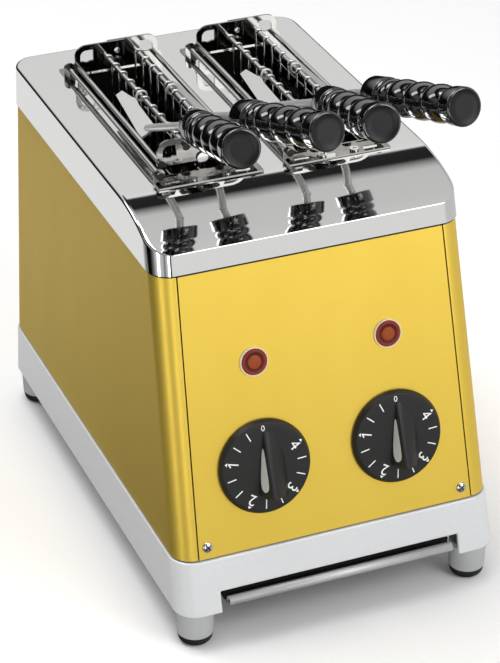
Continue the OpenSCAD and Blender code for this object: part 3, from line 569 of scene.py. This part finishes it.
def arc(cx, cz, r, fromAngle, toAngle, count):
    angles = [radians(fromAngle + (toAngle - fromAngle) * i / count) for i in range(count + 1)]
    return [(cx + r * cos(a), cz + r * sin(a)) for a in angles]


def joined(meshes):
    whole = bmesh.new()
    for mesh in meshes:
        part = bpy.data.meshes.new("part")
        mesh.to_mesh(part)
        mesh.free()
        whole.from_mesh(part)
        bpy.data.meshes.remove(part)
    return whole


def turnedSet(profile, steps, places):
    return joined([turned(profile, steps, place) for place in places])


# feet: grey posts on black rubber pads
feet = dict(postHeight=19.5, padHeight=6.5, postRadius=12.5, shoulder=1.2, padRound=4.2, steps=40)


def makeFeet():
    z = body["footHeight"]
    x = halfWidth(z) - body["corner"]
    depths = (frontY(z) + body["corner"], backY(z) - body["corner"])
    places = [Matrix.Translation(point(side * x, y, 0)) for side in (-1, 1) for y in depths]
    p, top, r = feet["padHeight"], feet["padHeight"] + feet["postHeight"], feet["postRadius"]
    inner, bend = r - feet["shoulder"], feet["padRound"]
    post = [(0, p), (inner, p)] + arc(inner, p + 0.6, 0.6, -90, 0, 3) + [(r - 0.1, top - 2.2)]
    post += arc(r - 0.7, top - 2.0, 0.7, 10, 90, 3) + [(inner, top - 1.2), (inner, top), (0, top)]
    pad = [(0, 0), (inner - bend, 0)] + arc(inner - bend, bend, bend, -90, -8, 8)
    pad += [(r - 0.9, p - 0.8), (r - 1.0, p), (0, p)]
    addPiece(turnedSet(post, feet["steps"], places), "foot_post_set", [footGrey], "housing",
             ["foot_posts"])
    addPiece(turnedSet(pad, feet["steps"], places), "rubber_pad_set", [rubber], "housing",
             ["foot_pads"])


# crumb tray: pan with a rolled front edge
tray = dict(half=79.0, rollHalf=78.4, rollRadius=3.2, rollSheet=0.7, rollLap=18.0, rollIn=1.2, panIn=6.0,
            floor=29.0, wallHeight=6.0, back=268.2, sheet=1.0, edge=0.3)


def makeTray():
    z, r, half = tray["floor"], tray["rollRadius"], tray["rollHalf"]
    front = frontY(z + r) + tray["rollIn"]
    mesh = bmesh.new()
    curl = [(front + tray["rollLap"], z)]
    curl += arc(front, z + r, r, 270, 90, 14) + arc(front, z + r, r, 80, -30, 8)
    verts = [mesh.verts.new(point(-half, y, h)) for y, h in curl]
    edges = [mesh.edges.new(pair) for pair in zip(verts, verts[1:])]
    grown = bmesh.ops.extrude_edge_only(mesh, edges=edges)
    bmesh.ops.translate(mesh, verts=newVerts(grown), vec=(2 * half * mm, 0, 0))
    bmesh.ops.recalc_face_normals(mesh, faces=mesh.faces)
    piece = addPiece(mesh, "tray_rolled_edge", [rollSteel], "crumb_tray")
    addThickness(piece, tray["rollSheet"])
    pan = bmesh.new()
    start = front + tray["panIn"]
    corners = [(-1, start), (1, start), (1, tray["back"]), (-1, tray["back"])]
    face = pan.faces.new([pan.verts.new(point(s * tray["half"], y, z)) for s, y in corners])
    thicken(pan, face, (0, 0, tray["wallHeight"] * mm))
    removeFaces(pan, lambda f: f.normal.z > facing)
    # the pan is painted near black as painted shade
    piece = addPiece(pan, "tray_pan", [panShade], "crumb_tray", ["crumb_tray"])
    addThickness(piece, tray["sheet"])
    addBevel(piece, tray["edge"])


# timer knobs: thin skirt with a printed scale, wedge grip and a silver drop on its steep side
knob = dict(x=45.7, drop=132.6, gap=0.8, radius=31.0, rim=29.6, thickness=4.0, steps=96,
            up=25.0, down=17.4, left=6.9, right=13.0, height=15.0, crest=4.3, crestWidth=2.8, noseBack=6.0,
            noseHeight=1.9, noseX=(-0.5, -0.1), sunk=0.6, clear=1.0, edge=0.9, edgeAngle=0.35,
            lastNumber=4, numberStep=74.5, numberRadius=22.9, numberSize=10.3, numberLift=0.02,
            zeroRadius=26.0, zeroSize=5.4, ink=0.06,
            one=[(0, -3.5), (0.9, -3.5), (0.9, 3.5), (0.2, 3.5), (-1.8, 1.9), (-1.4, 1.2), (0, 2.2)],
            arrow=[(-1.3, 27.0), (1.3, 27.0), (0, 28.6)],
            tick=[(-0.35, 21.2), (0.35, 21.2), (0.35, 27.2), (-0.35, 27.2)],
            inlay=[(12.0, 0.9), (13.5, 2.2), (18, 3.9), (24, 6.1), (30, 8.2), (34, 9.4), (36.4, 9.5),
                   (38.2, 8.6), (39.2, 7.0), (39.0, 5.0), (37.6, 3.2), (35, 2.0), (30, 1.2), (22, 0.8),
                   (15, 0.5)], inlayFoot=0.05, inlayThickness=0.4)


def makeKnob(side, name):
    place = panelMatrix(side * knob["x"], -knob["drop"], knob["gap"])
    r, rim, t = knob["radius"], knob["rim"], knob["thickness"]
    skirt = [(0, 0), (r - 0.8, 0)] + arc(r - 0.8, 0.8, 0.8, -90, 0, 4)
    skirt += arc(rim - 1.0, t - 1.0, 1.0, 20, 90, 5) + [(rim - 4, t), (12, t), (0, t)]
    disc = turned(skirt, knob["steps"], place)
    addPiece(joined([disc, makeWedge(place)]), name, [knobPlastic], name, [name], sharp=32)
    makeScale(place, name)
    makeDrop(place, name)


def makeWedge(place):
    wedge = bmesh.new()
    t, up, down, left, right = (knob[key] for key in ("thickness", "up", "down", "left", "right"))
    foot = [(0, up), (0.3 * right, 0.9 * up), (0.58 * right, 0.74 * up), (0.76 * right, 0.6 * up),
            (0.88 * right, 0.44 * up), (0.96 * right, 0.2 * up), (right, -0.29 * down), (right, -0.8 * down),
            (0.98 * right, -1.2 * down), (0.15 * right, -1.12 * down), (-left, -down)]
    for x, v in foot:
        wedge.verts.new((x * mm, v * mm, (t - knob["sunk"]) * mm))
        wedge.verts.new((x * mm, v * mm, t * mm))
    crestX = knob["crest"] - left
    ridge = [(x, up - knob["noseBack"], knob["noseHeight"]) for x in knob["noseX"]]
    ridge += [(x, -down, knob["height"]) for x in (crestX, crestX + knob["crestWidth"])]
    for x, v, z in ridge:
        wedge.verts.new((x * mm, v * mm, (t + z) * mm))
    hull = bmesh.ops.convex_hull(wedge, input=wedge.verts)
    inside = [g for g in hull["geom_interior"] if isinstance(g, bmesh.types.BMVert)]
    bmesh.ops.delete(wedge, geom=inside, context="VERTS")
    bmesh.ops.dissolve_limit(wedge, angle_limit=radians(2), verts=wedge.verts, edges=wedge.edges)
    edges = [e for e in wedge.edges if max(v.co.z for v in e.verts) > (t + knob["clear"]) * mm
             and e.calc_face_angle(0) > knob["edgeAngle"]]
    bmesh.ops.bevel(wedge, geom=edges, offset=knob["edge"] * mm, offset_type="OFFSET", segments=3,
                    profile=0.5, affect="EDGES", clamp_overlap=True, material=-1)
    bmesh.ops.recalc_face_normals(wedge, faces=wedge.faces)
    bmesh.ops.transform(wedge, matrix=place, verts=wedge.verts)
    return wedge


# thin print on a flat face
def flatBar(points, z, matrix):
    mesh = bmesh.new()
    face = mesh.faces.new([mesh.verts.new((x * mm, y * mm, z * mm)) for x, y in points])
    thicken(mesh, face, (0, 0, knob["ink"] * mm))
    bmesh.ops.transform(mesh, matrix=matrix, verts=mesh.verts)
    return mesh


def numberMesh(text, size, z, matrix):
    curve = bpy.data.curves.new("number", "FONT")
    curve.body = text
    curve.size = size * mm
    curve.align_x = "CENTER"
    curve.align_y = "CENTER"
    curve.extrude = knob["ink"] / 2 * mm
    curve.resolution_u = 3
    written = bpy.data.objects.new("number", curve)
    bpy.context.scene.collection.objects.link(written)
    flat = bpy.data.meshes.new_from_object(written.evaluated_get(bpy.context.evaluated_depsgraph_get()))
    mesh = bmesh.new()
    mesh.from_mesh(flat)
    places = [v.co for v in mesh.verts]
    middle = (Vector(map(min, *places)) + Vector(map(max, *places))) / 2
    bmesh.ops.translate(mesh, verts=mesh.verts, vec=(-middle.x, -middle.y, z * mm))
    bmesh.ops.transform(mesh, matrix=matrix, verts=mesh.verts)
    bpy.data.objects.remove(written)
    bpy.data.curves.remove(curve)
    bpy.data.meshes.remove(flat)
    return mesh


def makeScale(place, name):
    parts = []
    face, step, last = knob["thickness"], knob["numberStep"], knob["lastNumber"]
    for k in range(last + 1):
        turn = place @ Matrix.Rotation(radians(step * k), 4, "Z")
        reach = knob["numberRadius"] if k else knob["zeroRadius"]
        size = knob["numberSize"] if k else knob["zeroSize"]
        spot = turn @ Matrix.Translation((0, reach * mm, 0))
        if k == 1:  # a plain one with its flag
            parts.append(flatBar(knob["one"], face, spot))
        else:
            parts.append(numberMesh(str(k), size, face + knob["numberLift"], spot))
        if k:
            parts.append(flatBar(knob["arrow"], face, turn))
        if k < last:
            for third in (1, 2):
                tick = turn @ Matrix.Rotation(radians(step * third / 3), 4, "Z")
                parts.append(flatBar(knob["tick"], face, tick))
    addPiece(joined(parts), name + "_scale", [printWhite], name)


# silver drop: (distance down the steep side from the tip, height up it)
def makeDrop(place, name):
    tip = Vector((0, knob["up"], knob["thickness"]))
    along = Vector((-knob["left"], -knob["down"] - knob["up"], 0)).normalized()
    rise = Vector((knob["crest"], 0, knob["height"]))
    rise = (rise - along * rise.dot(along)).normalized()
    outward = along.cross(rise)
    outward = outward if outward.x < 0 else -outward
    start = tip + outward * knob["inlayFoot"]
    mesh = bmesh.new()
    face = mesh.faces.new([mesh.verts.new((start + along * s + rise * q) * mm) for s, q in knob["inlay"]])
    thicken(mesh, face, outward * knob["inlayThickness"] * mm)
    bmesh.ops.transform(mesh, matrix=place, verts=mesh.verts)
    addPiece(mesh, name + "_silver_drop", [dropSilver], name, [name + "_inlay"])


# signal lamps: white rim, ringed red lens
lamp = dict(x=45.7, drop=63.8, radius=9.4, steps=64)


def makeLamps():
    r, steps = lamp["radius"], lamp["steps"]
    rim = [(r - 0.9, 0), (r - 0.1, 0)] + arc(r - 0.45, 1.2, 0.4, 0, 180, 6) + [(r - 0.9, 0.4)]
    ring = [(r - 0.85, 0.5), (r - 0.9, 1.0)] + arc(r - 2.0, 1.0, 1.0, 20, 90, 4)
    ring += [(r - 2.9, 1.9), (r - 3.2, 1.5)]
    dark = [(r - 3.2, 1.5), (r - 4.6, 1.4), (r - 4.9, 1.7)]
    core = [(r - 4.9, 1.7), (r - 5.2, 2.1), (r - 6.0, 2.3), (1.5, 2.4), (0, 2.4)]
    places = [panelMatrix(s * lamp["x"], -lamp["drop"], 0) for s in (-1, 1)]
    addPiece(turnedSet(rim, steps, places), "lamp_rim_set", [rimWhite], "housing",
             ["lamp_bezels"])
    addPiece(turnedSet(ring, steps, places), "lamp_lens_set", [lensRed], "housing",
             ["lamp_lenses"])
    addPiece(turnedSet(dark, steps, places), "lamp_lens_groove", [lensDark], "housing")
    addPiece(turnedSet(core, steps, places), "lamp_lens_core", [lensCore], "housing")


# turned handles: collar, ring, three bulges and a plain end with a dull plug
handle = dict(x=16.8, y=36.0, lift=49.0, rise=18.0, turn=6.3, step=1.9, end=100.0, radius=12.0, steps=72,
              ringFrom=13.8, ringTo=23.0, bulgeFrom=23.4, bulgeLength=20.0, bulgePitch=20.4, bulgeCount=3,
              bulgeSteps=16, roundness=0.8, waistDepth=2.5, flare=2.3, flareLength=7.0, flareSteps=10, edge=1.5)


def handleMatrix(tongX, hand, step):
    place = point(tongX + hand * handle["x"], handle["y"] + step, topZ + handle["lift"])
    tilt = Matrix.Rotation(radians(90 - handle["rise"]), 4, "X")
    return Matrix.Translation(place) @ (Matrix.Rotation(radians(hand * handle["turn"]), 4, "Z") @ tilt)


def handleProfile():
    r, end, edge = handle["radius"], handle["end"], handle["edge"]
    shape = [(2.6, -4.6), (r - 2.0, -5.0)] + arc(r - 1.6, -3.8, 1.2, -90, 0, 4)
    shape += arc(r - 1.4, 10.4, 1.2, 0, 80, 5) + [(r - 2.0, 13.2)]
    bulges = [(handle["ringFrom"], handle["ringTo"], r - 2.2, r - 0.8)]
    for k in range(handle["bulgeCount"]):
        low = handle["bulgeFrom"] + handle["bulgePitch"] * k
        bulges.append((low, low + handle["bulgeLength"], r - 2.7, r - 0.1))
    for low, high, valley, peak in bulges:  # each bulge starts steeply and ends in the next groove
        for i in range(handle["bulgeSteps"] + 1):
            t = i / handle["bulgeSteps"]
            swell = sin(pi * t) ** handle["roundness"]
            shape.append((valley + (peak - valley) * swell, low + (high - low) * t))
    waist = bulges[-1][1]
    for i in range(1, handle["flareSteps"] + 1):
        t = i / handle["flareSteps"]
        shape.append((r - handle["waistDepth"] + handle["flare"] * sin(pi * t / 2),
                      waist + handle["flareLength"] * t))
    return shape + arc(r - edge, end - edge, edge, 0, 84, 6)


def makeHandle(node, tongX, hand, step, jaw):
    matrix = handleMatrix(tongX, hand, step)
    r, end, steps = handle["radius"], handle["end"], handle["steps"]
    addPiece(turned(handleProfile(), steps, matrix), node + "_grip", [phenolic], jaw, [node],
             sharp=50)
    cap = [(r - 1.2, end - 0.05), (r - 1.6, end), (r - 1.9, end - 0.25), (r - 6, end - 0.2), (0, end - 0.2)]
    addPiece(turned(cap, steps, matrix), node + "_end_cap", [endPlastic], jaw, sharp=50)


# panel screws: domed heads with a cross recess drawn as a thin black cross of painted shade
screws = dict(x=88.69, drop=177.95, radius=3.5, height=1.7, foot=0.35, steps=40, turn=35, lift=0.33,
              slot=[(-2.0, -0.42), (2.0, -0.42), (2.3, 0), (2.0, 0.42), (-2.0, 0.42), (-2.3, 0)])


def makeScrews():
    r, h, foot = screws["radius"], screws["height"], screws["foot"]
    dome = [(0.9, -0.1), (r, 0), (r, foot)]
    dome += [(r * cos(radians(a)), foot + (h - foot) * sin(radians(a))) for a in (15, 30, 45, 60, 75)]
    dome += [(0, h)]
    heads, marks = [], []
    for side in (-1, 1):
        place = panelMatrix(side * screws["x"], -screws["drop"], 0)
        heads.append(turned(dome, screws["steps"], place))
        raised = Matrix.Translation((0, 0, screws["lift"] * mm))
        for angle in (screws["turn"], screws["turn"] + 90):
            cross = place @ Matrix.Rotation(radians(angle), 4, "Z")
            # each cross recess is a thin black bar of painted shade
            marks.append(flatBar(screws["slot"], h - foot, cross @ raised))
    addPiece(joined(heads), "panel_screw_heads", [bright], "housing", ["panel_screws"])
    addPiece(joined(marks), "panel_screw_crosses", [shadeBlack], "housing")


makeWrap()
makePanel()
makeCover()
makeBase()
print("housing made")
makeFeet()
makeTray()
makeKnob(-1, "left_knob")
makeKnob(1, "right_knob")
makeLamps()
makeScrews()
print("controls made")
for tongName, tongX in (("tong_a", -body["slotPitch"] / 2), ("tong_b", body["slotPitch"] / 2)):
    makeHandle(tongName + "_left_handle", tongX, -1, 0.0, tongName + "_left_jaw")
    makeHandle(tongName + "_right_handle", tongX, 1, handle["step"], tongName + "_right_jaw")
print("handles made")


# the solids that keep their own shape get the real finishes, by name or by the name's last word
finishes = dict(tray_rails=sheet, case_screws=bright, slot_brackets=stamped, bracket_screws=bright,
                left_chamber=chamberBlack, right_chamber=chamberBlack, element_bushings=ceramic,
                left_elements=heatedSteel, right_elements=heatedSteel, left_element_guards=bright,
                right_element_guards=bright, left_timer=timerGrey, right_timer=timerGrey,
                lamp_holders=rimWhite, terminal_block=ceramic, cord_gland=rubber)
endings = dict(plates=stamped, tang=satin, rods=rodSteel)
for nodeName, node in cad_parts.items():
    finish = finishes.get(nodeName, endings.get(nodeName.split("_")[-1], bright))
    node.data.materials.clear()
    node.data.materials.append(finish)
print("finishes set")


# pale floor and light tent: bands are (share of the direction along z or x, tone)
studio = dict(floorSize=8.0, flank="#D8D8D8", flankFrom=0.5, flankTo=0.8, frontTo=-0.35, backFrom=0.2,
              back=[(-1.0, "#0E0E0E"), (-0.515, "#0E0E0E"), (-0.49, "#F6F6F6"), (-0.375, "#F6F6F6"),
                    (-0.35, "#141414"), (0.1, "#1C1C1C"), (0.3, "#D8D8D8"), (0.4, "#EDEDED"),
                    (0.55, "#F2F2F2"), (0.575, "#FFFFFF"), (0.6, "#2A2A2A"), (0.72, "#262626"),
                    (0.8, "#D6D6D6"), (1.0, "#DEDEDE")],
              front=[(-1.0, "#6A6A6A"), (-0.2, "#A8A8A8"), (-0.12, "#F4F4F4"), (0.06, "#F4F4F4"),
                     (0.12, "#4A4A4A"), (0.3, "#6E6E6E"), (0.5, "#B4B4B4"), (0.7, "#B4B4B4"),
                     (0.78, "#E6E6E6"), (1.0, "#F4F4F4")],
              backSide=[(-1.0, "#C0C0C0"), (-0.85, "#C0C0C0"), (-0.7, "#808080"), (-0.46, "#D8D8D8"),
                        (-0.38, "#FFFFFF"), (1.0, "#FFFFFF")],
              frontSide=[(-1.0, "#FFFFFF"), (-0.8, "#FFFFFF"), (-0.72, "#D8D8D8"), (-0.6, "#C8C8C8"),
                         (-0.55, "#707070"), (-0.45, "#C8C8C8"), (-0.32, "#FFFFFF"), (-0.24, "#FFFFFF"),
                         (-0.2, "#505050"), (-0.06, "#505050"), (0.0, "#FFFFFF"), (1.0, "#FFFFFF")])
floorMesh = bmesh.new()
bmesh.ops.create_grid(floorMesh, x_segments=1, y_segments=1, size=studio["floorSize"])
floorData = bpy.data.meshes.new("floor")
floorMesh.to_mesh(floorData)
floorMesh.free()
floorPaint = newMaterial("pale studio paper", Base_Color=toLinear("#FAFAFA"), Roughness=0.9)[0]
floorData.materials.append(floorPaint)
floor = bpy.data.objects.new("floor", floorData)
bpy.context.scene.collection.objects.link(floor)
floor.visible_glossy = False  # polished faces mirror the tent below the table too

# behind, a pale strip low down and a dark gap high up; dark strips in front; a pale flank on the right
world = bpy.data.worlds.new("studio")
bpy.context.scene.world = world
world.use_nodes = True
direction = addNode(world, "ShaderNodeTexCoord")
parts = addNode(world, "ShaderNodeSeparateXYZ", (), [(direction, "Generated", "Vector")])


def tentBands(axis, bands):
    share = addNode(world, "ShaderNodeMapRange", [("From Min", -1.0), ("From Max", 1.0)],
                    [(parts, axis, "Value")])
    wall = addNode(world, "ShaderNodeValToRGB", (), [(share, "Result", "Fac")])
    stops = wall.color_ramp.elements
    stops[0].color, stops[1].color = toLinear(bands[0][1]), toLinear(bands[-1][1])
    for place, tone in bands[1:-1]:
        stops.new((place + 1) / 2).color = toLinear(tone)
    return wall


def tentWall(upright, across):
    return addNode(world, "ShaderNodeVectorMath", [("operation", "MULTIPLY")],
                   [(tentBands("Z", upright), "Color", 0), (tentBands("X", across), "Color", 1)])


def softStep(axis, low, high):
    return addNode(world, "ShaderNodeMapRange",
                   [("interpolation_type", "SMOOTHSTEP"), ("From Min", low), ("From Max", high)],
                   [(parts, axis, "Value")])


toBack = softStep("Y", studio["frontTo"], studio["backFrom"])
tent = addNode(world, "ShaderNodeMix", [("data_type", "RGBA")],
               [(toBack, "Result", 0), (tentWall(studio["front"], studio["frontSide"]), "Vector", 6),
                (tentWall(studio["back"], studio["backSide"]), "Vector", 7)])
toFlank = softStep("X", studio["flankFrom"], studio["flankTo"])
sky = addNode(world, "ShaderNodeMix", [("data_type", "RGBA"), (7, toLinear(studio["flank"]))],
              [(toFlank, "Result", 0), (tent, 2, 6)])
world.node_tree.links.new(sky.outputs[2], world.node_tree.nodes["Background"].inputs["Color"])
bpy.context.scene.view_settings.view_transform = "Standard"


def addLight(name, place, target, size, power):
    data = bpy.data.lights.new(name, "AREA")
    data.shape = "RECTANGLE"
    data.size, data.size_y = size
    data.energy = power
    light = bpy.data.objects.new(name, data)
    light.location = place
    light.rotation_euler = (Vector(target) - Vector(place)).to_track_quat("-Z", "Y").to_euler()
    bpy.context.scene.collection.objects.link(light)


addLight("key", (0.9, -1.5, 1.45), (0, -0.1, 0.2), (0.9, 0.9), 10)
addLight("roof", (-0.5, 0.3, 2.4), (-0.1, 0.0, 0.0), (1.2, 1.2), 29)
addLight("low front", (1.0, -2.4, 0.78), (0, 0, 0.2), (1.4, 1.0), 9)
addLight("rim", (-1.3, 1.3, 1.35), (0, 0, 0.3), (0.5, 0.9), 6)
addLight("edge", (-0.6, -2.3, 0.35), (0, 0, 0.2), (0.25, 1.0), 6)
addLight("corner", (-1.9, -1.15, 0.3), (-0.1, -0.1, 0.2), (0.35, 1.0), 5)
print("studio lit")
